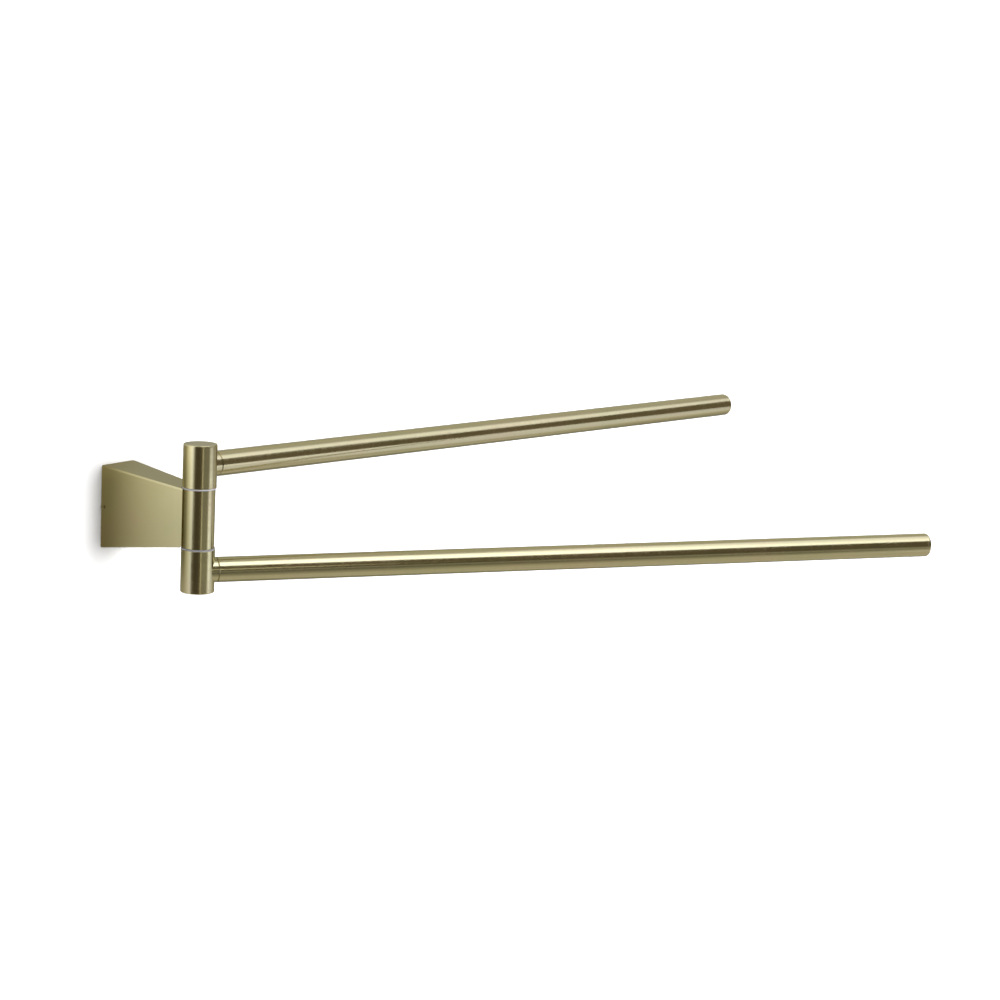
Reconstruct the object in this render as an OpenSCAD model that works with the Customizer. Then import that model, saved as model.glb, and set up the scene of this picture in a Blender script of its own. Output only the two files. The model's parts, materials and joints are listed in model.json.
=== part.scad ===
// Swing arm towel bar: two round bars swing on a column that a cast bracket holds off the wall.
// The origin is the middle of the wall face. +Y runs into the wall, -Y into the room, +Z is up.
// Each arm is drawn along -Y with its column axis on Z, then turned to its angle.

/* [Column] */
// Diameter of the two swivel hubs
hub_d = 16.8; // [15.6:0.1:24]
// Height of each swivel hub
hub_h = 21.6; // [20:0.1:40]
// Diameter of the fixed centre hub
mid_hub_d = 15.8; // [13:0.1:22]
// Height of the fixed centre hub
mid_hub_h = 29.5; // [26:0.1:50]
// Thickness of the pale rings between the hubs
ring_t = 0.65; // [0.4:0.05:2]
// How far the pale rings stay inside the hubs' outline
ring_inset = 0.05; // [0:0.05:0.5]
// Rounding of each hub's outer rim
rim_r = 0.6; // [0.2:0.1:1.2]
// Chamfer on the hub faces that meet the rings
face_chamfer = 0.2; // [0.1:0.05:0.5]

/* [Arms] */
// Distance from the column axis to the tip of each arm
arm_reach = 412; // [150:1:600]
// Outer diameter of the arm tubes
tube_d = 12.7; // [11.5:0.1:13.5]
// Wall of the arm tubes
tube_wall = 1; // [0.6:0.1:1.5]
// How far each neck stands out from its hub
neck_len = 1.2; // [0.8:0.1:6]
// Chamfer on each side of the seam between neck and tube
seam_chamfer = 0.2; // [0.1:0.05:0.4]
// Width of the open groove at that seam
groove_w = 0.3; // [0.1:0.05:0.6]
// Depth of that groove
groove_depth = 0.8; // [0.4:0.1:1]
// Length of the tip plug's visible head
tip_head = 2; // [1.5:0.1:6]
// Chamfer on each side of the fine seam behind that head
tip_chamfer = 0.05; // [0.02:0.01:0.3]
// Rounding of the tip plug's edge
tip_r = 1.1; // [0.4:0.1:1.2]
// Length of the tip plug's spigot inside the tube
tip_spigot = 10; // [4:0.5:20]
// Wall of the tip plug's spigot
tip_wall = 1.2; // [0.8:0.1:2]
// Angle of the upper arm from straight out, towards +X
upper_angle = 80.5; // [-90:0.5:90]
// Angle of the lower arm from straight out, towards +X
lower_angle = 55; // [-90:0.5:90]

/* [Bracket] */
// Distance from the wall to the column axis
bracket_reach = 53; // [45:0.5:90]
// Width of the bracket at the wall
wall_w = 24; // [22:0.5:40]
// Height of the bracket at the wall
wall_h = 41.8; // [38:0.1:60]
// Width of the bracket's nose at the column
nose_w = 14; // [13:0.1:15]
// How far the nose reaches round the centre hub
nose_wrap = 2.9; // [1:0.1:4]
// Clearance cut in the nose round the swivel hubs
swing_gap = 0.3; // [0.2:0.05:0.6]
// Rounding of the bracket's long corners
corner_r = 0.9; // [0.4:0.1:2]
// Wall of the bracket casting
bracket_wall = 2.2; // [1.6:0.1:2.6]
// Metal between the bracket's hollow and the centre hub
saddle_wall = 3.5; // [2:0.1:6]
// Thickness of the web across the bracket's hollow
web_t = 1.6; // [1:0.1:3]
// Depth from the wall at which that web starts
web_start = 18; // [14:0.5:24]

/* [Wall plate] */
// Thickness of the wall plate
plate_t = 2; // [1.5:0.1:3]
// Spacing of the two wall screw holes
screw_pitch = 20; // [16:0.5:20]
// Diameter of the wall screw holes
screw_hole_d = 4.5; // [3.5:0.1:5]
// Length of the plate's two folded tabs, from the wall
tab_len = 9; // [7.5:0.1:11]
// Width of the folded tabs
tab_w = 11; // [8:0.1:14]
// Clearance between the plate and the hollow round it
plate_gap = 0.15; // [0.05:0.05:0.4]
// Rounding of the plate's corners
plate_corner = 2; // [0.5:0.1:3]
// Height of the small side lugs in the bracket's rim
lug_h = 1.2; // [1:0.1:6]
// How far the side lugs stand out of the rim
lug_out = 0.4; // [0:0.1:1]

/* [Pivots] */
// Diameter of the pivot screws' plain shoulders
shoulder_d = 6; // [5.5:0.1:6.4]
// Diameter of the pivot screws' threads
pivot_thread_d = 5; // [4:0.1:5.2]
// Depth of each pivot thread in the centre hub
pivot_thread_len = 11; // [8:0.1:12]
// Diameter of the pivot screws' heads
pivot_head_d = 9.6; // [8.5:0.1:10]
// Height of the pivot screws' heads
pivot_head_h = 3; // [2:0.1:4]
// Hexagon socket of the pivot screws, across corners
pivot_socket_d = 4.6; // [3:0.1:5]
// Outer diameter of the swivel bushes
bush_d = 8; // [7.5:0.1:8.5]
// Running clearance round the shoulders, on the radius
run_gap = 0.05; // [0.02:0.01:0.1]
// Thickness of the coned spring washers
spring_t = 0.4; // [0.2:0.05:0.6]
// Rise of the coned spring washers
spring_rise = 0.35; // [0.1:0.05:0.6]
// Diameter of the end caps
cap_d = 13.2; // [12:0.1:13.4]
// Thickness of the end caps
cap_t = 2; // [1.2:0.1:3]
// Chamfer round the end caps' outer face
cap_chamfer = 0.1; // [0.05:0.05:0.5]
// Free height between a pivot screw's head and the end cap
cap_room = 0.65; // [0.3:0.05:1.5]

/* [Fasteners] */
// Diameter of the studs that hold the arms
stud_d = 6; // [5:0.1:6.4]
// Length of each stud inside its arm
stud_grip = 11; // [6:0.5:20]
// Length of the threaded inserts in the arm tubes
insert_len = 14; // [8:0.5:30]
// Diameter of the two screws that hold the centre hub
hub_screw_d = 4; // [3:0.1:4.5]
// Spacing of those two screws
hub_screw_pitch = 16; // [12:0.5:17]
// Diameter of their heads
hub_screw_head_d = 7; // [6:0.1:7.5]
// Height of their heads
hub_screw_head_h = 2.6; // [2:0.1:4]
// Thickness of the spring washers under their heads
hub_washer_t = 0.9; // [0.5:0.1:1.2]
// Slit in those spring washers
hub_washer_slit = 0.7; // [0.4:0.1:1.2]
// Clearance of those two screws in the bracket, on the radius
hub_screw_gap = 0.2; // [0.1:0.05:0.4]
// Diameter of the grub screw under the bracket
grub_d = 4; // [3:0.1:5]
// Length of the grub screw
grub_len = 6; // [5:0.1:8]
// Distance of the grub screw from the wall
grub_from_wall = 5.5; // [4.5:0.1:6]

/* [Hidden] */
$fn = 96;

// Overrun of every cut past the face that it opens
over = 0.5;
// Clearance of pressed, screwed and seated round fits, on the radius
seat_gap = 0.02;
// Clearance of loose washers round a screw, on the radius
loose_gap = 0.15;
// Metal left between a stud and the bush, and between a hub screw and the pivot threads
end_gap = 0.3;
// Steps in each rounded corner or rim
arc_steps = 6;

// Radii
hub_r = hub_d / 2;
mid_hub_r = mid_hub_d / 2;
tube_r = tube_d / 2;
bore_r = tube_r - tube_wall;
shoulder_r = shoulder_d / 2;
bush_r = bush_d / 2;
stud_r = stud_d / 2;
cap_r = cap_d / 2;

// Levels on an arm's own axes, where zero is the middle of the swivel hub
arm_level = mid_hub_h / 2 + ring_t + hub_h / 2;
hub_top = hub_h / 2;
ring_level = -hub_h / 2 - ring_t;
well_floor = hub_top - cap_t - cap_room - pivot_head_h - spring_t - spring_rise;
head_level = well_floor + spring_t + spring_rise;
// The well for the pivot screw's head leaves a ledge for the end cap
well_r = (pivot_head_d / 2 + cap_r) / 2;

// Distances along an arm from the column axis
neck_end = hub_r + neck_len;
tube_end = arm_reach - tip_head;

// The nose is as high as the centre hub that it holds
nose_h = mid_hub_h;

// The bracket's length, and its outline and hollow at a given depth from the wall
bracket_len = bracket_reach - mid_hub_r + nose_wrap;
hollow_len = bracket_reach - mid_hub_r - saddle_wall;
function outer_w(depth) = wall_w + (nose_w - wall_w) * depth / bracket_len;
function outer_h(depth) = wall_h + (nose_h - wall_h) * depth / bracket_len;
function hollow_w(depth) = outer_w(depth) - 2 * bracket_wall;
function hollow_h(depth) = outer_h(depth) - 2 * bracket_wall;

// The wall plate fills the hollow at its own depth, and its tabs reach the roof and floor of the hollow
plate_w = hollow_w(plate_t) - 2 * plate_gap;
plate_h = hollow_h(tab_len) - 2 * plate_gap;

metal = [0.62, 0.56, 0.38];
steel = [0.72, 0.72, 0.74];
nylon = [0.93, 0.93, 0.92];

// Points of an arc in a plane
function arc(centre, r, from, to) =
    [for (i = [0 : arc_steps]) centre + r * [cos(from + (to - from) * i / arc_steps),
                                             sin(from + (to - from) * i / arc_steps)]];

// Outline of a rectangle with rounded corners
function round_rect(w, h, r) = concat(
    arc([w / 2 - r, h / 2 - r], r, 0, 90),
    arc([-w / 2 + r, h / 2 - r], r, 90, 180),
    arc([-w / 2 + r, -h / 2 + r], r, 180, 270),
    arc([w / 2 - r, -h / 2 + r], r, 270, 360));

// Straight loft between two round-cornered rectangles at two depths from the wall
module loft(size_a, size_b, depth_a, depth_b, r) {
    ring_a = round_rect(size_a[0], size_a[1], r);
    ring_b = round_rect(size_b[0], size_b[1], r);
    n = len(ring_a);
    polyhedron(
        points = concat([for (p = ring_a) [p[0], -depth_a, p[1]]], [for (p = ring_b) [p[0], -depth_b, p[1]]]),
        faces = concat(
            [[for (i = [0 : n - 1]) i]],
            [[for (i = [0 : n - 1]) 2 * n - 1 - i]],
            [for (i = [0 : n - 1]) [i, n + i, (i + 1) % n]],
            [for (i = [0 : n - 1]) [(i + 1) % n, n + i, n + (i + 1) % n]]));
}

// Plain ring that stands on its lower face
module ring(outer_r, inner_r, h) {
    difference() {
        cylinder(r = outer_r, h = h);
        translate([0, 0, -over])
            cylinder(r = inner_r, h = h + 2 * over);
    }
}

// Hexagon socket that opens upwards at its top
module socket(d, depth) {
    translate([0, 0, -depth])
        cylinder(d = d, h = depth + over, $fn = 6);
}

// Puts its children on the column, above the centre hub for side 1 and below it for side -1
module at_side(side, angle = 0) {
    translate([0, -bracket_reach, side * arm_level])
        rotate([0, 0, angle])
            mirror([0, 0, side < 0 ? 1 : 0])
                children();
}

// Turns its children's +Z out along the arm, from a distance off the column axis
module along_arm(distance) {
    translate([0, -distance, 0])
        rotate([90, 0, 0])
            children();
}

// Turns its children's +Z out of the wall, from a depth off the wall face
module out_of_wall(depth, level = 0) {
    translate([0, -depth, level])
        rotate([90, 0, 0])
            children();
}

// Folded steel plate that is screwed to the wall inside the bracket
module wall_plate() {
    lower_tab = -plate_h / 2;
    color(steel)
    difference() {
        union() {
            out_of_wall(0)
                linear_extrude(plate_t)
                    polygon(round_rect(plate_w, plate_h, plate_corner));
            // The two tabs and the plate between them are one folded strip
            translate([-tab_w / 2, 0, 0])
                rotate([90, 0, 90])
                    linear_extrude(tab_w)
                        difference() {
                            polygon(concat(
                                [[0, -plate_h / 2 + plate_t]],
                                arc([-plate_t, -plate_h / 2 + plate_t], plate_t, 0, -90),
                                [[-tab_len, -plate_h / 2], [-tab_len, plate_h / 2]],
                                arc([-plate_t, plate_h / 2 - plate_t], plate_t, 90, 0)));
                            translate([-tab_len - over, -plate_h / 2 + plate_t])
                                square([tab_len + over - plate_t, plate_h - 2 * plate_t]);
                        }
            translate([-wall_w / 2 - lug_out, -plate_t, -lug_h / 2])
                cube([wall_w + 2 * lug_out, plate_t, lug_h]);
        }
        for (side = [-1, 1])
            out_of_wall(-over, side * screw_pitch / 2)
                cylinder(d = screw_hole_d, h = plate_t + 2 * over);
        translate([0, -grub_from_wall, lower_tab - over])
            cylinder(r = grub_d / 2 + seat_gap, h = plate_t + 2 * over);
    }
}

// Hollow tapered casting with a saddle for the centre hub
module bracket() {
    color(metal)
    difference() {
        loft([wall_w, wall_h], [nose_w, nose_h], 0, bracket_len, corner_r);
        // The hollow, with a level web left standing across it
        difference() {
            loft([hollow_w(-over), hollow_h(-over)], [hollow_w(hollow_len), hollow_h(hollow_len)],
                 -over, hollow_len, corner_r);
            translate([-wall_w / 2, -bracket_len, -web_t / 2])
                cube([wall_w, bracket_len - web_start, web_t]);
        }
        // Saddle
        translate([0, -bracket_reach, -nose_h])
            cylinder(r = mid_hub_r + seat_gap, h = 2 * nose_h);
        // Clearance round the pale rings and the swivel hubs, above and below the saddle
        for (side = [0, 1])
            translate([0, -bracket_reach, 0])
                mirror([0, 0, side])
                    translate([0, 0, mid_hub_h / 2 - swing_gap])
                        cylinder(r = hub_r + swing_gap, h = nose_h);
        // Holes for the two hub screws
        for (side = [-1, 1])
            out_of_wall(hollow_len - over, side * hub_screw_pitch / 2)
                cylinder(r = hub_screw_d / 2 + hub_screw_gap, h = saddle_wall + mid_hub_r);
        // Hole for the grub screw, up through the floor of the hollow
        translate([0, -grub_from_wall, -outer_h(0) / 2 - over])
            cylinder(r = grub_d / 2 + seat_gap, h = outer_h(0) / 2 - plate_h / 2 + plate_t + over);
        // Notches in the rim for the plate's side lugs
        translate([-wall_w / 2 - over, -plate_t - plate_gap, -lug_h / 2 - plate_gap])
            cube([wall_w + 2 * over, plate_t + plate_gap + over, lug_h + 2 * plate_gap]);
    }
}

// Socketed set screw that locks the bracket to the plate's lower tab
module bracket_grub_screw() {
    // The screw's foot stops flush inside the sloping underside of the bracket
    foot = -outer_h(grub_from_wall + grub_d / 2) / 2 + end_gap;
    point = grub_d / 4;
    color(steel)
    translate([0, -grub_from_wall, foot])
        difference() {
            rotate_extrude()
                polygon([[0, 0], [grub_d / 2, 0], [grub_d / 2, grub_len - point],
                         [grub_d / 2 - point, grub_len], [0, grub_len]]);
            mirror([0, 0, 1])
                socket(grub_d / 2 + point / 2, grub_len / 3);
        }
}

// Two screws from the hollow into the centre hub
module hub_screws() {
    tip = bracket_reach - pivot_thread_d / 2 - seat_gap - end_gap;
    seat = hollow_len - hub_washer_t;
    color(steel)
    for (side = [-1, 1])
        out_of_wall(seat, side * hub_screw_pitch / 2)
            difference() {
                rotate_extrude()
                    polygon(concat(
                        [[0, tip - seat], [hub_screw_d / 2, tip - seat], [hub_screw_d / 2, 0],
                         [hub_screw_head_d / 2, 0]],
                        arc([hub_screw_head_d / 2 - hub_screw_head_h / 3, -hub_screw_head_h * 2 / 3],
                            hub_screw_head_h / 3, 0, -90),
                        [[0, -hub_screw_head_h]]));
                translate([0, 0, -hub_screw_head_h])
                    mirror([0, 0, 1])
                        socket(hub_screw_d * 2 / 3, hub_screw_head_h / 2);
            }
}

// Split spring washers under the heads of the hub screws
module hub_screw_washers() {
    outer_r = hub_screw_head_d / 2;
    color(steel)
    for (side = [-1, 1])
        out_of_wall(hollow_len - hub_washer_t, side * hub_screw_pitch / 2)
            difference() {
                ring(outer_r, hub_screw_d / 2 + loose_gap, hub_washer_t);
                translate([0, -hub_washer_slit / 2, -over])
                    cube([outer_r + over, hub_washer_slit, hub_washer_t + 2 * over]);
            }
}

// Fixed hub in the middle of the column
module centre_hub() {
    color(metal)
    translate([0, -bracket_reach, 0])
        difference() {
            rotate_extrude()
                polygon([[0, -mid_hub_h / 2], [mid_hub_r - face_chamfer, -mid_hub_h / 2],
                         [mid_hub_r, -mid_hub_h / 2 + face_chamfer], [mid_hub_r, mid_hub_h / 2 - face_chamfer],
                         [mid_hub_r - face_chamfer, mid_hub_h / 2], [0, mid_hub_h / 2]]);
            translate([0, 0, -mid_hub_h / 2 - over])
                cylinder(r = pivot_thread_d / 2 + seat_gap, h = mid_hub_h + 2 * over);
            for (side = [-1, 1])
                translate([0, pivot_thread_d / 2 + seat_gap + end_gap, side * hub_screw_pitch / 2])
                    rotate([-90, 0, 0])
                        cylinder(r = hub_screw_d / 2 + seat_gap, h = mid_hub_r);
        }
}

// Shoulder screw that a swivel hub turns on
module pivot_screw() {
    chamfer = pivot_thread_d / 10;
    thread_tip = ring_level - pivot_thread_len;
    color(steel)
    difference() {
        rotate_extrude()
            polygon([[0, thread_tip], [pivot_thread_d / 2 - chamfer, thread_tip],
                     [pivot_thread_d / 2, thread_tip + chamfer], [pivot_thread_d / 2, ring_level],
                     [shoulder_r, ring_level], [shoulder_r, head_level], [pivot_head_d / 2, head_level],
                     [pivot_head_d / 2, head_level + pivot_head_h - chamfer],
                     [pivot_head_d / 2 - chamfer, head_level + pivot_head_h],
                     [0, head_level + pivot_head_h]]);
        translate([0, 0, head_level + pivot_head_h])
            socket(pivot_socket_d, pivot_head_h / 2);
    }
}

// Coned washer that presses the swivel hub onto the pale ring
module spring_washer() {
    color(steel)
    rotate_extrude()
        polygon([[shoulder_r + loose_gap, well_floor + spring_rise], [pivot_head_d / 2, well_floor],
                 [pivot_head_d / 2, well_floor + spring_t], [shoulder_r + loose_gap, head_level]]);
}

// Pale nylon ring that shows between two hubs
module slip_ring() {
    color(nylon)
    translate([0, 0, ring_level])
        ring(hub_r - ring_inset, shoulder_r + loose_gap, ring_t);
}

// Barrel that carries an arm and turns on the pivot screw
module swivel_hub() {
    color(metal)
    difference() {
        rotate_extrude()
            polygon(concat(
                [[0, -hub_h / 2], [hub_r - face_chamfer, -hub_h / 2], [hub_r, -hub_h / 2 + face_chamfer]],
                arc([hub_r - rim_r, hub_top - rim_r], rim_r, 0, 90),
                [[0, hub_top]]));
        translate([0, 0, -hub_h / 2 - over])
            cylinder(r = bush_r + seat_gap, h = well_floor + hub_h / 2 + 2 * over);
        translate([0, 0, well_floor])
            cylinder(r = well_r, h = hub_top - well_floor);
        translate([0, 0, hub_top - cap_t])
            cylinder(r = cap_r + seat_gap, h = cap_t + over);
        along_arm(0)
            cylinder(r = stud_r + seat_gap, h = hub_r + over);
    }
}

// Nylon sleeve pressed into a swivel hub
module bush() {
    color(nylon)
    translate([0, 0, -hub_h / 2])
        ring(bush_r, shoulder_r + run_gap, well_floor + hub_h / 2);
}

// Disc pressed into the hub's end over the pivot screw
module end_cap() {
    color(metal)
    rotate_extrude()
        polygon([[0, hub_top - cap_t], [cap_r, hub_top - cap_t], [cap_r, hub_top - cap_chamfer],
                 [cap_r - cap_chamfer, hub_top], [0, hub_top]]);
}

// Collar with a saddle end that carries the tube off the round hub
module neck() {
    neck_r = tube_r - ring_inset;
    lip_end = neck_end - groove_w;
    color(metal)
    difference() {
        along_arm(0)
            rotate_extrude()
                polygon([[0, 0], [neck_r, 0], [neck_r, lip_end - seam_chamfer],
                         [neck_r - seam_chamfer, lip_end], [neck_r - groove_depth, lip_end],
                         [neck_r - groove_depth, neck_end], [0, neck_end]]);
        translate([0, 0, -hub_h / 2])
            cylinder(r = hub_r + seat_gap, h = hub_h);
        along_arm(0)
            cylinder(r = stud_r + seat_gap, h = neck_end + over);
    }
}

// Threaded stud from the hub through the neck into the insert
module stud() {
    start = bush_r + end_gap;
    end = neck_end + stud_grip;
    chamfer = stud_d / 10;
    color(steel)
    along_arm(0)
        rotate_extrude()
            polygon([[0, start], [stud_r - chamfer, start], [stud_r, start + chamfer],
                     [stud_r, end - chamfer], [stud_r - chamfer, end], [0, end]]);
}

// Threaded plug pressed into the tube's hub end
module insert() {
    color(steel)
    along_arm(neck_end)
        ring(bore_r - seat_gap, stud_r + seat_gap, insert_len);
}

// The round bar that the towel hangs on
module tube() {
    color(metal)
    along_arm(0)
        rotate_extrude()
            polygon([[bore_r, neck_end], [tube_r - seam_chamfer, neck_end], [tube_r, neck_end + seam_chamfer],
                     [tube_r, tube_end - tip_chamfer], [tube_r - tip_chamfer, tube_end], [bore_r, tube_end]]);
}

// Plug that closes the free end of the tube
module tip_plug() {
    spigot_r = bore_r - seat_gap;
    color(metal)
    along_arm(tube_end)
        rotate_extrude()
            polygon(concat(
                [[0, 0], [spigot_r - tip_wall, 0], [spigot_r - tip_wall, -tip_spigot],
                 [spigot_r, -tip_spigot], [spigot_r, 0], [tube_r - tip_chamfer, 0], [tube_r, tip_chamfer]],
                arc([tube_r - tip_r, tip_head - tip_r], tip_r, 0, 90),
                [[0, tip_head]]));
}

module upper_pivot_screw() at_side(1) pivot_screw();
module upper_spring_washer() at_side(1) spring_washer();
module upper_ring() at_side(1) slip_ring();
module upper_hub() at_side(1, upper_angle) swivel_hub();
module upper_bush() at_side(1, upper_angle) bush();
module upper_end_cap() at_side(1, upper_angle) end_cap();
module upper_neck() at_side(1, upper_angle) neck();
module upper_stud() at_side(1, upper_angle) stud();
module upper_insert() at_side(1, upper_angle) insert();
module upper_tube() at_side(1, upper_angle) tube();
module upper_tip_plug() at_side(1, upper_angle) tip_plug();

module lower_pivot_screw() at_side(-1) pivot_screw();
module lower_spring_washer() at_side(-1) spring_washer();
module lower_ring() at_side(-1) slip_ring();
module lower_hub() at_side(-1, lower_angle) swivel_hub();
module lower_bush() at_side(-1, lower_angle) bush();
module lower_end_cap() at_side(-1, lower_angle) end_cap();
module lower_neck() at_side(-1, lower_angle) neck();
module lower_stud() at_side(-1, lower_angle) stud();
module lower_insert() at_side(-1, lower_angle) insert();
module lower_tube() at_side(-1, lower_angle) tube();
module lower_tip_plug() at_side(-1, lower_angle) tip_plug();

wall_plate();
bracket();
bracket_grub_screw();
hub_screws();
hub_screw_washers();
centre_hub();
upper_pivot_screw();
upper_spring_washer();
upper_ring();
upper_hub();
upper_bush();
upper_end_cap();
upper_neck();
upper_stud();
upper_insert();
upper_tube();
upper_tip_plug();
lower_pivot_screw();
lower_spring_washer();
lower_ring();
lower_hub();
lower_bush();
lower_end_cap();
lower_neck();
lower_stud();
lower_insert();
lower_tube();
lower_tip_plug();
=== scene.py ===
"""Studio scene of the swing arm towel bar: finishes, wall, floor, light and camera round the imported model."""
import json
from math import atan2, cos, pi, radians, sin

import bpy
from mathutils import Matrix, Vector


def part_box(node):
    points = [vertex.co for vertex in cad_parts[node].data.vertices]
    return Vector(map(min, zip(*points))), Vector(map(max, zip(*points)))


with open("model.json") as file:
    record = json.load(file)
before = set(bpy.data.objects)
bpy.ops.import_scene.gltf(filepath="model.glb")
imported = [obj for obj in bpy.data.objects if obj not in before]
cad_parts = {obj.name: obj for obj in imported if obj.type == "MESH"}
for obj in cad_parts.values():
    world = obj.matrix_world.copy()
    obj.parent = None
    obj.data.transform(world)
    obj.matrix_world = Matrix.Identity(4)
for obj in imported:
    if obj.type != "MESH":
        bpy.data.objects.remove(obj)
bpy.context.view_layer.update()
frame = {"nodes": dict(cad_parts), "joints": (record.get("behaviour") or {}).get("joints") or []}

UP = Vector((0.0, 0.0, 1.0))

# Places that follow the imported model
JOINTS = {joint["name"]: joint for joint in frame["joints"]}
COLUMN = Vector(JOINTS["upper_arm_swing"]["pos_m"][:2] + [0.0])
BRACKET_LOW, BRACKET_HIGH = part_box("bracket")
HALF_W = (BRACKET_HIGH.x - BRACKET_LOW.x) / 2
HALF_H = (BRACKET_HIGH.z - BRACKET_LOW.z) / 2

# Camera, measured from the photograph: where it stands seen from the column, and how it is turned from there
IMAGE_PX = 1000
FOCAL_PX = 2615.5
SENSOR_MM = 36.0
CLIP_START = 0.01
VIEW_AZIMUTH = -50.0725
VIEW_ELEVATION = 10.690
VIEW_DISTANCE = 1.29283
VIEW_YAW = -6.559
VIEW_PITCH = 0.539
VIEW_ROLL = -1.278

# Satin plating: colour, how far it wanders to a greener and a browner tone, its grain and its worn edges,
# lighter partly as wear and partly as a painted highlight
GOLD = (0.615, 0.55, 0.315, 1.0)
GOLD_GREEN = (0.58, 0.54, 0.30, 1.0)
GOLD_BROWN = (0.635, 0.54, 0.32, 1.0)
GOLD_GRAIN = (0.47, 0.405, 0.22, 1.0)
GOLD_EDGE_WEAR_AND_HIGHLIGHT = (0.80, 0.72, 0.50, 1.0)
# Scales of its grain along X, Y and Z: round the column, round an arm that lies along X, and up the casting
COLUMN_GRAIN = (70.0, 70.0, 2100.0)
ARM_GRAIN = (2100.0, 70.0, 70.0)
CASTING_GRAIN = (1300.0, 1300.0, 160.0)
# How much the grain darkens, and the coarser grain that sways the roughness, as a share of those scales
GRAIN_DEPTH = 0.09
COARSER = 0.2
# Scale of the clouds in the tone, and how much smoother worn edges are
CLOUD_SCALE = 28.0
GOLD_EDGE_POLISH = 0.05
# Zinc-plated screws and studs, and the wall plate
STEEL = (0.70, 0.70, 0.71)
STEEL_EDGE = (0.82, 0.81, 0.79, 1.0)
STEEL_EDGE_POLISH = 0.06
SHEET = (0.60, 0.54, 0.31)
# Nylon of the rings and bushes, in its duller and its clearer patches
NYLON_DULL = (0.36, 0.36, 0.385)
NYLON = (0.43, 0.43, 0.455)
NYLON_EDGE = (0.30, 0.29, 0.29, 1.0)
# Level of each ring's nylon, painted light and shade on one nylon: the lower ring shows darker than the upper
# one in the photograph
NYLON_PAINTED_LIGHT_AND_SHADE = {"upper": 1.1, "lower": 0.7}
# Noise values that the mottles run between
MOTTLE = (0.3, 0.7)
# Wear sets in, and is full, where a rounded edge's normal turns this far from the real one, as cosines
WEAR_TURN = (0.985, 0.88)
# It comes in patches: their scale, and the noise values and levels that they run between
PATCH_SCALE = 260.0
PATCH_BORDER = (0.36, 0.60)
PATCH_LEVELS = (0.25, 1.0)

# Stage
FLOOR_DROP = 1.3
FLOOR_SIZE = 12.0
WALL_SIZE = 6.0
WALL_GAP = 0.0004
RIM_COVER = 0.001
WHITE = (1.0, 1.0, 1.0, 1.0)
PALE = (0.9, 0.9, 0.9, 1.0)
PALE_DULL = (0.89, 0.89, 0.89, 1.0)
PAINT_LIFT = 0.5
FLOOR_MIRRORED = (0.56, 0.545, 0.50, 1.0)
# Painted contact shadow on the wall, over its real shading: where it starts to fade and where it ends, out from
# the bracket, with heights stretched
PAINTED_SHADOW_FADE = (0.001, 0.0265)
PAINTED_SHADOW_STRETCH = 1.6
# How far from the bracket's upper and lower ends that painted shadow starts to fade
PAINTED_SHADOW_INSET = 0.0045

# The wall as the metal mirrors it, a painted reflection with painted shade near the bracket: tone by the
# distance from the bracket, from 0 to MIRROR_REACH
MIRROR_REACH = 0.25
MIRROR_PAINTED_SHADE_TONES = [
    (0.0, (0.155, 0.14, 0.087, 1.0)), (0.04, (0.168, 0.154, 0.104, 1.0)),
    (0.1, (0.275, 0.260, 0.202, 1.0)), (0.15, (0.415, 0.402, 0.335, 1.0)),
    (0.24, (0.60, 0.59, 0.535, 1.0)), (0.5, (0.93, 0.94, 1.02, 1.0)), (1.0, (1.1, 1.12, 1.3, 1.0))]
# Painted light and shade by height: what that tone is multiplied by at each height, from the lower to the upper
# of two heights
MIRROR_HEIGHTS = (-0.065, 0.135)
MIRROR_PAINTED_LIGHT_LEVELS = [
    (0.0, 0.85), (0.145, 1.0), (0.265, 1.22), (0.385, 1.45),
    (0.43, 1.95), (0.5, 1.8), (0.625, 1.4), (1.0, 1.1)]
# Painted shade, darker far off on the left and low down: where it sets in and is full, across and below a
# sloping line
CORNER_ACROSS = (-0.36, -0.5)
CORNER_SLOPE = 0.165
CORNER_BELOW = (0.005, -0.012)
CORNER_PAINTED_SHADE_LEVEL = 0.25
# Its painted light on the bracket's open side, from the lower to the upper of two heights
OPEN_HEIGHTS = (-0.03, 0.15)
OPEN_SIDE_PAINTED_LIGHT_TONES = [
    (0.0, (0.28, 0.28, 0.235, 1.0)), (0.28, (0.40, 0.40, 0.336, 1.0)),
    (0.5, (0.42, 0.42, 0.353, 1.0)), (1.0, (0.53, 0.53, 0.445, 1.0))]

# Light: radiance of the room for matt surfaces, and as the metal mirrors it
WORLD_FILL = 0.62
ROOM_TONE = 0.52
# Lamps: azimuth, elevation, distance, size and radiance
LAMPS = {
    "front_light": (17.0, 16.0, 1.5, (0.6, 0.6), 15.0),
    "overhead_light": (-5.0, 60.0, 1.3, (1.2, 0.8), 1.2),
}

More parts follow.
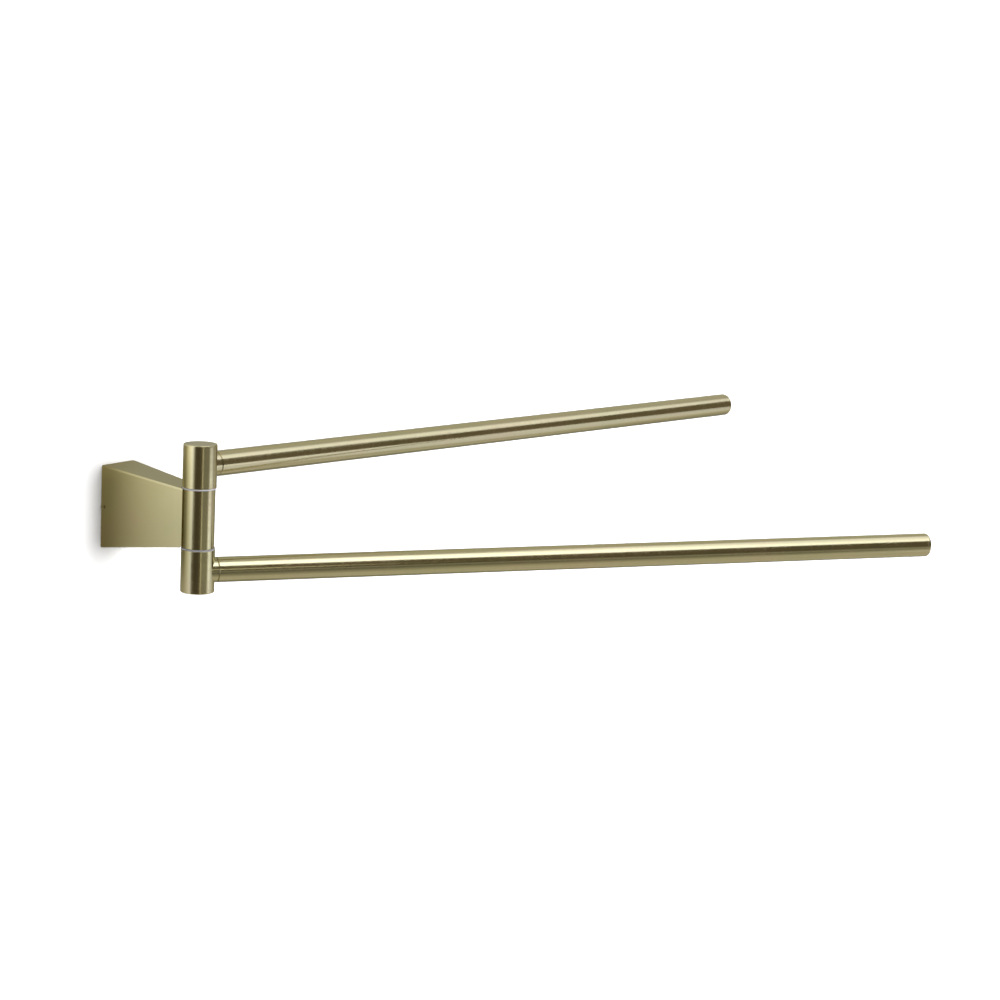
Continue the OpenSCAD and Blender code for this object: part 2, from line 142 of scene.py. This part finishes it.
# Studio cards, placed where the photographed metal mirrors them: azimuths, elevations, radiance from left to
# right and tint. They stand at one distance from the column, and each is a grid of so many steps
CARD_RADIUS = 1.55
CARD_STEPS = 16
WARM = (1.0, 0.84, 0.59)
SOFT = (1.0, 0.97, 0.84)
COOL = (0.97, 1.0, 1.18)
CARDS = {
    # Dark ground on the left, with a bright line along its right edge
    "left_dark": ((-84.0, -32.0), (-42.0, 32.0),
                  [(0.0, 0.11), (0.35, 0.075), (0.75, 0.09), (1.0, 0.18)], WARM),
    "left_dark_edge": ((-93.0, -84.0), (-42.0, -10.2), [(0.0, 0.11)], WARM),
    "left_line_upright": ((-32.0, -27.5), (-42.0, 6.0), [(0.0, 0.9)], SOFT),
    "left_line_level": ((-32.0, -14.0), (6.0, 10.5), [(0.0, 1.2)], SOFT),
    # Middle, from the floor up: dusk, olive, dark and then bright
    "middle_dusk_1": ((-27.5, 14.0), (-54.0, -44.0), [(0.0, 0.34), (0.5, 0.40), (1.0, 0.55)], SOFT),
    "middle_dusk_2": ((-27.5, 14.0), (-44.0, -34.0), [(0.0, 0.22), (0.5, 0.35), (1.0, 0.50)], SOFT),
    "middle_dusk_3": ((-27.5, 14.0), (-34.0, -24.0), [(0.0, 0.14), (0.5, 0.25), (1.0, 0.36)], SOFT),
    "middle_dusk_4": ((-27.5, 14.0), (-24.0, -15.0), [(0.0, 0.08), (0.5, 0.14), (1.0, 0.24)], SOFT),
    "middle_olive_1": ((-27.5, 14.0), (-15.0, -12.2), [(0.0, 0.45), (0.5, 0.46), (1.0, 0.40)], SOFT),
    "middle_olive_2": ((-27.5, 14.0), (-12.2, -9.8), [(0.0, 0.17), (1.0, 0.20)], SOFT),
    "middle_olive_3": ((-27.5, 14.0), (-9.8, -6.0), [(0.0, 0.28), (0.5, 0.31), (1.0, 0.28)], SOFT),
    "middle_dark_1": ((-27.5, 14.0), (-6.0, 6.0), [(0.0, 0.07), (1.0, 0.12)], WARM),
    "middle_dark_2": ((-14.0, 14.0), (6.0, 10.5), [(0.0, 0.12)], WARM),
    "middle_dark_3": ((-32.0, -3.0), (10.5, 39.5), [(0.0, 0.15), (1.0, 0.13)], WARM),
    "middle_dark_4": ((-3.0, 14.0), (10.5, 35.5), [(0.0, 0.13), (1.0, 0.11)], WARM),
    "middle_bright_1": ((-50.0, -3.0), (39.5, 69.0), [(0.0, 2.2), (1.0, 2.4)], COOL),
    "middle_bright_2": ((-3.0, 14.0), (35.5, 69.0), [(0.0, 2.4), (1.0, 2.2)], COOL),
    # Right, from the floor up: bright, dark and bright again
    "right_bright_1": ((20.0, 62.0), (-36.0, -14.5), [(0.0, 0.75), (0.35, 0.9), (1.0, 0.8)], COOL),
    "right_bright_2": ((20.0, 62.0), (-14.5, -7.5),
                       [(0.0, 1.25), (0.3, 1.45), (0.5, 1.15), (0.67, 0.85), (1.0, 0.6)], COOL),
    "right_dim": ((62.0, 104.0), (-34.0, -7.5), [(0.0, 0.7), (0.4, 0.4), (1.0, 0.25)], SOFT),
    "right_dark_1": ((14.0, 80.0), (-7.5, 21.5), [(0.0, 0.14), (0.5, 0.15), (1.0, 0.2)], WARM),
    "right_dark_2": ((14.0, 30.0), (21.5, 33.0), [(0.0, 0.14)], WARM),
    "right_dark_3": ((30.0, 46.0), (21.5, 34.0), [(0.0, 0.14)], WARM),
    "right_bright_3": ((14.0, 30.0), (33.0, 69.0), [(0.0, 2.1), (1.0, 1.8)], COOL),
    "right_bright_4": ((30.0, 46.0), (34.0, 69.0), [(0.0, 1.8), (1.0, 1.4)], COOL),
    "right_bright_5": ((46.0, 73.0), (21.5, 62.0), [(0.0, 1.35), (0.6, 1.25), (1.0, 1.0)], COOL),
}


def direction(azimuth, elevation):
    """Unit vector from the column; azimuth 0 is straight out of the wall, and positive is towards +X."""
    a, e = radians(azimuth), radians(elevation)
    return Vector((sin(a) * cos(e), -cos(a) * cos(e), sin(e)))


def opaque(colour, level=1.0):
    """Colour of three numbers at some level, with its alpha."""
    return tuple(level * c for c in colour) + (1.0,)


def grey(value):
    return (value, value, value, 1.0)


# Node helpers


def new_material(name):
    """Material with its node tree, which holds only the output node."""
    material = bpy.data.materials.new(name)
    material.use_nodes = True
    material.node_tree.nodes.clear()
    output = material.node_tree.nodes.new("ShaderNodeOutputMaterial")
    return material, material.node_tree, output


def add(tree, kind, inputs=None, **settings):
    """Node of a kind, with its settings and with input sockets given by name or number."""
    node = tree.nodes.new(kind)
    for key, value in settings.items():
        setattr(node, key, value)
    for key, value in (inputs or {}).items():
        if isinstance(value, bpy.types.NodeSocket):
            tree.links.new(value, node.inputs[key])
        else:
            node.inputs[key].default_value = value
    return node


def maths(tree, operation, a, b=0.0):
    return add(tree, "ShaderNodeMath", {0: a, 1: b}, operation=operation).outputs[0]


def ramp(tree, factor, stops):
    """Colour ramp over (position, colour) stops."""
    node = add(tree, "ShaderNodeValToRGB", {"Fac": factor})
    elements = node.color_ramp.elements
    while len(elements) < len(stops):
        elements.new(0.5)
    while len(elements) > len(stops):
        elements.remove(elements[-1])
    for element, (position, colour) in zip(elements, stops):
        element.position = position
        element.color = colour
    return node.outputs["Color"]


def span(tree, value, source, target=(0.0, 1.0)):
    """Straight-line change of a value from one range to another, held at both ends."""
    node = add(tree, "ShaderNodeMapRange", {"Value": value, "From Min": source[0], "From Max": source[1],
                                            "To Min": target[0], "To Max": target[1]})
    return node.outputs["Result"]


def mixed(tree, factor, a, b):
    """Colour between a and b."""
    node = add(tree, "ShaderNodeMix", {"Factor": factor, "A": a, "B": b}, data_type="RGBA")
    return node.outputs["Result"]


def noise(tree, vector, scale, detail=2.0, roughness=0.5):
    node = add(tree, "ShaderNodeTexNoise", {"Vector": vector, "Scale": scale, "Detail": detail,
                                            "Roughness": roughness})
    return node.outputs["Fac"]


def placed(tree, turn=0.0, scale=(1.0, 1.0, 1.0)):
    """Object coordinates turned about Z and then stretched, so that a grain can follow an arm."""
    coordinates = add(tree, "ShaderNodeTexCoord").outputs["Object"]
    turned = add(tree, "ShaderNodeMapping", {"Vector": coordinates, "Rotation": (0.0, 0.0, turn)})
    stretched = add(tree, "ShaderNodeMapping", {"Vector": turned.outputs["Vector"], "Scale": scale})
    return stretched.outputs["Vector"]


def worn_edge(tree, width):
    """Mask that is 1 along outer edges, broken up so that the wear comes and goes."""
    rounded = add(tree, "ShaderNodeBevel", {"Radius": width}, samples=6).outputs["Normal"]
    plain = add(tree, "ShaderNodeNewGeometry").outputs["Normal"]
    alike = add(tree, "ShaderNodeVectorMath", {0: rounded, 1: plain}, operation="DOT_PRODUCT").outputs["Value"]
    patch = noise(tree, placed(tree), scale=PATCH_SCALE, detail=3.0, roughness=0.6)
    return maths(tree, "MULTIPLY", span(tree, alike, WEAR_TURN), span(tree, patch, PATCH_BORDER, PATCH_LEVELS))


def mottled(tree, factor, dull, clear):
    """Colour that follows a mottle from a duller to a clearer tone."""
    return ramp(tree, factor, [(MOTTLE[0], dull), (MOTTLE[1], clear)])


def surface(tree, output, height, strength, distance, **inputs):
    """Principled surface with a bump from a height; inputs are its sockets, with _ for a space."""
    bump = add(tree, "ShaderNodeBump", {"Strength": strength, "Distance": distance, "Height": height})
    sockets = {key.replace("_", " "): value for key, value in inputs.items()}
    shader = add(tree, "ShaderNodeBsdfPrincipled", {**sockets, "Normal": bump.outputs["Normal"]})
    tree.links.new(shader.outputs["BSDF"], output.inputs["Surface"])


# Finishes


def satin_gold(name, turn, grain, strength=1.0, roughness=0.18, wear_and_highlight=0.6):
    """Olive gold plating with a satin grain, drawn out along the direction where its scale is small."""
    material, tree, output = new_material(name)
    fine = noise(tree, placed(tree, turn, grain), scale=1.0, detail=4.0, roughness=0.6)
    coarse = noise(tree, placed(tree, turn, tuple(COARSER * g for g in grain)), scale=1.0, detail=3.0,
                   roughness=0.55)
    cloud = noise(tree, placed(tree), scale=CLOUD_SCALE, detail=3.0)
    edge = worn_edge(tree, width=0.0005)
    tone = ramp(tree, cloud, [(0.30, GOLD_GREEN), (0.52, GOLD), (0.74, GOLD_BROWN)])
    grained = mixed(tree, span(tree, fine, (0.32, 0.72), (0.0, GRAIN_DEPTH * strength)), tone, GOLD_GRAIN)
    # Lighter edges: partly rubbed plating, partly a painted highlight along the edges
    worn = mixed(tree, maths(tree, "MULTIPLY", edge, wear_and_highlight), grained, GOLD_EDGE_WEAR_AND_HIGHLIGHT)
    sanded = span(tree, coarse, MOTTLE, (roughness - 0.03 * strength, roughness + 0.05 * strength))
    clouded = maths(tree, "ADD", sanded, span(tree, cloud, (0.35, 0.65), (-0.015, 0.02)))
    rough = maths(tree, "SUBTRACT", clouded, maths(tree, "MULTIPLY", edge, GOLD_EDGE_POLISH))
    surface(tree, output, height=fine, strength=0.03 * strength, distance=0.00003,
            Base_Color=worn, Metallic=1.0, Roughness=rough)
    return material


def plated_steel(name, colour, roughness):
    """Zinc-plated steel with a fine mottle and brighter edges."""
    material, tree, output = new_material(name)
    mottle = noise(tree, placed(tree), scale=900.0, detail=4.0, roughness=0.6)
    tint = mottled(tree, mottle, opaque(colour, 0.86), opaque(colour))
    edge = worn_edge(tree, width=0.0003)
    worn = mixed(tree, maths(tree, "MULTIPLY", edge, 0.5), tint, STEEL_EDGE)
    uneven = span(tree, mottle, MOTTLE, (roughness - 0.05, roughness + 0.08))
    rough = maths(tree, "SUBTRACT", uneven, maths(tree, "MULTIPLY", edge, STEEL_EDGE_POLISH))
    surface(tree, output, height=mottle, strength=0.12, distance=0.00005,
            Base_Color=worn, Metallic=1.0, Roughness=rough)
    return material


def pale_nylon(name, painted_light_and_shade):
    """Milky nylon with a faint moulded mottle, rubbed a little duller along its edges, at a level of painted
    light and shade for each ring.
    """
    material, tree, output = new_material(name)
    mottle = noise(tree, placed(tree), scale=600.0, detail=3.0)
    tint = mottled(tree, mottle, opaque(NYLON_DULL, painted_light_and_shade), opaque(NYLON, painted_light_and_shade))
    edge = worn_edge(tree, width=0.0002)
    worn = mixed(tree, maths(tree, "MULTIPLY", edge, 0.35), tint, NYLON_EDGE)
    rough = span(tree, mottle, MOTTLE, (0.38, 0.5))
    surface(tree, output, height=mottle, strength=0.15, distance=0.00005,
            Base_Color=worn, Roughness=rough, Subsurface_Weight=0.15, Subsurface_Scale=0.001)
    return material


def dress(names, material):
    """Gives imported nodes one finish."""
    for name in names:
        slots = frame["nodes"][name].data.materials
        slots.clear()
        slots.append(material)


def arm_turn(prefix):
    """Turn about Z that brings an arm's length onto X, worked out from where its tip lies."""
    low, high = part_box(prefix + "tip_plug")
    middle = (Vector(low) + Vector(high)) / 2 - COLUMN
    return -atan2(middle.y, middle.x)


def dress_all():
    # The grain of the round parts runs round them, and the casting is only lightly sanded up and down
    column = satin_gold("satin_gold_column", 0.0, COLUMN_GRAIN)
    casting = satin_gold("satin_gold_casting", 0.0, CASTING_GRAIN, strength=0.2, roughness=0.30, wear_and_highlight=0.25)
    steel = plated_steel("plated_steel", STEEL, 0.32)
    sheet = plated_steel("plated_sheet", SHEET, 0.33)
    dress(["centre_hub", "upper_hub", "lower_hub", "upper_end_cap", "lower_end_cap"], column)
    for arm, painted_light_and_shade in NYLON_PAINTED_LIGHT_AND_SHADE.items():
        prefix = arm + "_"
        bar = satin_gold("satin_gold_" + prefix + "arm", arm_turn(prefix), ARM_GRAIN)
        # One nylon in a lighter and a darker copy: painted light on the upper ring and painted shade on the
        # lower one
        nylon = pale_nylon(prefix + "nylon", painted_light_and_shade)
        dress([prefix + part for part in ("neck", "tube", "tip_plug")], bar)
        dress([prefix + part for part in ("pivot_screw", "spring_washer", "stud", "insert")], steel)
        dress([prefix + part for part in ("ring", "bush")], nylon)
    dress(["bracket"], casting)
    dress(["wall_plate"], sheet)
    dress(["bracket_grub_screw", "hub_screws", "hub_screw_washers"], steel)


# Stage


def mesh_object(name, points, faces, material):
    mesh = bpy.data.meshes.new(name)
    mesh.from_pydata([tuple(p) for p in points], [], faces)
    mesh.update()
    thing = bpy.data.objects.new(name, mesh)
    bpy.context.scene.collection.objects.link(thing)
    mesh.materials.append(material)
    return thing


def seen_directly(tree, path):
    """1 for what the camera sees, also through something clear."""
    return maths(tree, "MAXIMUM", path["Is Camera Ray"], path["Is Transmission Ray"])


def painted(tree, white_lift_and_painted_shadow, painted_reflection_tone):
    """Pale matt paint with a lift that only the camera sees, held lower where a shadow is painted, and a
    painted reflection tone of its own in the metal's mirror.
    """
    tint = mottled(tree, noise(tree, placed(tree), scale=40.0), PALE_DULL, PALE)
    paint = add(tree, "ShaderNodeBsdfDiffuse", {"Color": tint}).outputs[0]
    path = add(tree, "ShaderNodeLightPath").outputs
    strength = maths(tree, "MULTIPLY", seen_directly(tree, path), white_lift_and_painted_shadow)
    glow = add(tree, "ShaderNodeEmission", {"Color": WHITE, "Strength": strength})
    lifted = add(tree, "ShaderNodeAddShader", {0: paint, 1: glow.outputs[0]})
    # Painted reflection: a glow that glossy rays see in place of the lit paint
    painted_reflection_glow = add(tree, "ShaderNodeEmission", {"Color": painted_reflection_tone})
    return add(tree, "ShaderNodeMixShader", {0: path["Is Glossy Ray"], 1: lifted.outputs[0],
                                             2: painted_reflection_glow.outputs[0]}).outputs[0]


def past(tree, value, limit):
    """How far a value lies beyond a limit on either side of zero."""
    beyond = maths(tree, "SUBTRACT", maths(tree, "ABSOLUTE", value), limit)
    return maths(tree, "MAXIMUM", beyond, 0.0)


def stretched_length(tree, across, upwards):
    """Length of a way on the wall, in which heights are stretched by the painted shadow's stretch factor; it
    shapes the painted contact shadow and the painted shade in the wall's mirror.
    """
    tall = maths(tree, "MULTIPLY", upwards, PAINTED_SHADOW_STRETCH)
    squares = maths(tree, "ADD", maths(tree, "MULTIPLY", across, across), maths(tree, "MULTIPLY", tall, tall))
    return maths(tree, "SQRT", squares)


def wall_painted_reflection(tree, place):
    """The wall's painted reflection in the metal's mirror: painted shade darker near the bracket, and plainer
    painted light on its open side.
    """
    away = stretched_length(tree, past(tree, place["X"], HALF_W), past(tree, place["Z"], HALF_H))
    shaded = ramp(tree, maths(tree, "DIVIDE", away, MIRROR_REACH), MIRROR_PAINTED_SHADE_TONES)
    level = ramp(tree, span(tree, place["Z"], MIRROR_HEIGHTS),
                 [(position, grey(value)) for position, value in MIRROR_PAINTED_LIGHT_LEVELS])
    lit = add(tree, "ShaderNodeVectorMath", {0: shaded, 1: level}, operation="MULTIPLY").outputs["Vector"]
    sloped = maths(tree, "SUBTRACT", place["Z"], maths(tree, "MULTIPLY", place["X"], CORNER_SLOPE))
    far_corner = maths(tree, "MULTIPLY", span(tree, place["X"], CORNER_ACROSS),
                       span(tree, sloped, CORNER_BELOW))
    dimmed = span(tree, far_corner, (0.0, 1.0), (1.0, CORNER_PAINTED_SHADE_LEVEL))
    lit = add(tree, "ShaderNodeVectorMath", {0: lit, "Scale": dimmed}, operation="SCALE").outputs["Vector"]
    plain = ramp(tree, span(tree, place["Z"], OPEN_HEIGHTS), OPEN_SIDE_PAINTED_LIGHT_TONES)
    open_side = span(tree, place["X"], (-HALF_W, 2 * HALF_W))
    return mixed(tree, open_side, lit, plain)


def wall_material():
    """White wall, clear from behind. Its lift fades towards the bracket, which paints a contact shadow there
    over the wall's real shading.
    """
    material, tree, output = new_material("wall_paint")
    place = add(tree, "ShaderNodeSeparateXYZ", {0: placed(tree)}).outputs
    # The painted contact shadow, laid over the wall's real shading, fades at its upper and lower ends before it
    # reaches the bracket's corners
    across, upwards = past(tree, place["X"], HALF_W), past(tree, place["Z"], HALF_H - PAINTED_SHADOW_INSET)
    white_lift_and_painted_shadow = span(tree, stretched_length(tree, across, upwards), PAINTED_SHADOW_FADE, (0.0, PAINT_LIFT))
    front = painted(tree, white_lift_and_painted_shadow, wall_painted_reflection(tree, place))
    behind = add(tree, "ShaderNodeNewGeometry").outputs["Backfacing"]
    clear = add(tree, "ShaderNodeBsdfTransparent").outputs[0]
    result = add(tree, "ShaderNodeMixShader", {0: behind, 1: front, 2: clear}).outputs[0]
    tree.links.new(result, output.inputs["Surface"])
    return material


def floor_material():
    material, tree, output = new_material("floor_paint")
    tree.links.new(painted(tree, PAINT_LIFT, FLOOR_MIRRORED), output.inputs["Surface"])
    return material


def build_wall():
    """Wall behind the bracket, with an opening where the bracket's rim covers it."""
    y = BRACKET_HIGH.y + WALL_GAP
    left, right = BRACKET_LOW.x + RIM_COVER, BRACKET_HIGH.x - RIM_COVER
    bottom, top = BRACKET_LOW.z + RIM_COVER, BRACKET_HIGH.z - RIM_COVER
    half = WALL_SIZE / 2
    rim = [(-half, -FLOOR_DROP), (half, -FLOOR_DROP), (half, half), (-half, half)]
    hole = [(left, bottom), (right, bottom), (right, top), (left, top)]
    points = [(x, y, z) for x, z in rim + hole]
    faces = [(i, (i + 1) % 4, 4 + (i + 1) % 4, 4 + i) for i in range(4)]
    mesh_object("wall", points, faces, wall_material())


def build_floor():
    half = FLOOR_SIZE / 2
    points = [(x, y, -FLOOR_DROP) for x, y in ((-half, -half), (half, -half), (half, half), (-half, half))]
    mesh_object("floor", points, [(0, 1, 2, 3)], floor_material())


def card(name, azimuths, elevations, stops, tint):
    """Curved studio card that only the metal's reflections see."""
    material, tree, output = new_material(name)
    uv = add(tree, "ShaderNodeTexCoord").outputs["UV"]
    across = add(tree, "ShaderNodeSeparateXYZ", {0: uv}).outputs["X"]
    strength = ramp(tree, across, [(position, grey(value)) for position, value in stops])
    glow = add(tree, "ShaderNodeEmission", {"Color": opaque(tint), "Strength": strength})
    tree.links.new(glow.outputs[0], output.inputs["Surface"])
    row = CARD_STEPS + 1
    points = []
    for i in range(row):
        elevation = elevations[0] + (elevations[1] - elevations[0]) * i / CARD_STEPS
        for j in range(row):
            azimuth = azimuths[0] + (azimuths[1] - azimuths[0]) * j / CARD_STEPS
            points.append(COLUMN + CARD_RADIUS * direction(azimuth, elevation))
    faces = [(i * row + j, i * row + j + 1, (i + 1) * row + j + 1, (i + 1) * row + j)
             for i in range(CARD_STEPS) for j in range(CARD_STEPS)]
    thing = mesh_object(name, points, faces, material)
    layer = thing.data.uv_layers.new(name="across")
    for loop in thing.data.loops:
        i, j = divmod(loop.vertex_index, row)
        layer.data[loop.index].uv = (j / CARD_STEPS, i / CARD_STEPS)
    thing.visible_camera = False
    thing.visible_diffuse = False
    thing.visible_shadow = False


def soft_light(name, azimuth, elevation, distance, size, radiance):
    """Rectangular lamp that faces the column and lights matt surfaces; cards stand in for it in the metal."""
    lamp = bpy.data.lights.new(name, "AREA")
    lamp.shape = "RECTANGLE"
    lamp.size, lamp.size_y = size
    lamp.energy = radiance * pi * size[0] * size[1]
    thing = bpy.data.objects.new(name, lamp)
    bpy.context.scene.collection.objects.link(thing)
    place = COLUMN + distance * direction(azimuth, elevation)
    facing = (place - COLUMN).to_track_quat("Z", "Y")
    thing.matrix_world = Matrix.Translation(place) @ facing.to_matrix().to_4x4()
    thing.visible_glossy = False


def build_world():
    """Room that is white to the camera, and plainer for the surfaces and in the metal's mirror."""
    world = bpy.data.worlds.new("studio")
    bpy.context.scene.world = world
    world.use_nodes = True
    tree = world.node_tree
    tree.nodes.clear()
    path = add(tree, "ShaderNodeLightPath").outputs
    indirect = span(tree, path["Is Glossy Ray"], (0.0, 1.0), (WORLD_FILL, ROOM_TONE))
    strength = maths(tree, "MAXIMUM", seen_directly(tree, path), indirect)
    background = add(tree, "ShaderNodeBackground", {"Color": WHITE, "Strength": strength})
    output = add(tree, "ShaderNodeOutputWorld")
    tree.links.new(background.outputs[0], output.inputs["Surface"])


def build_camera():
    """Camera at the photograph's viewing angle."""
    back = direction(VIEW_AZIMUTH, VIEW_ELEVATION)
    forward = -back
    right = forward.cross(UP).normalized()
    up = right.cross(forward)
    yaw = Matrix.Rotation(radians(VIEW_YAW), 3, up)
    forward, right = yaw @ forward, yaw @ right
    pitch = Matrix.Rotation(radians(VIEW_PITCH), 3, right)
    forward, up = pitch @ forward, pitch @ up
    roll = Matrix.Rotation(radians(VIEW_ROLL), 3, forward)
    right, up = roll @ right, roll @ up
    camera = bpy.data.cameras.new("camera")
    camera.sensor_fit = "HORIZONTAL"
    camera.sensor_width = SENSOR_MM
    camera.lens = FOCAL_PX * SENSOR_MM / IMAGE_PX
    camera.clip_start = CLIP_START
    thing = bpy.data.objects.new("camera", camera)
    bpy.context.scene.collection.objects.link(thing)
    axes = Matrix((right, up, -forward)).transposed().to_4x4()
    thing.matrix_world = Matrix.Translation(COLUMN + VIEW_DISTANCE * back) @ axes
    bpy.context.scene.camera = thing


build_camera()
build_world()
for lamp_name, lamp_facts in LAMPS.items():
    soft_light(lamp_name, *lamp_facts)
build_wall()
build_floor()
for card_name, card_facts in CARDS.items():
    card(card_name, *card_facts)
dress_all()
bpy.context.scene.view_settings.view_transform = "Standard"
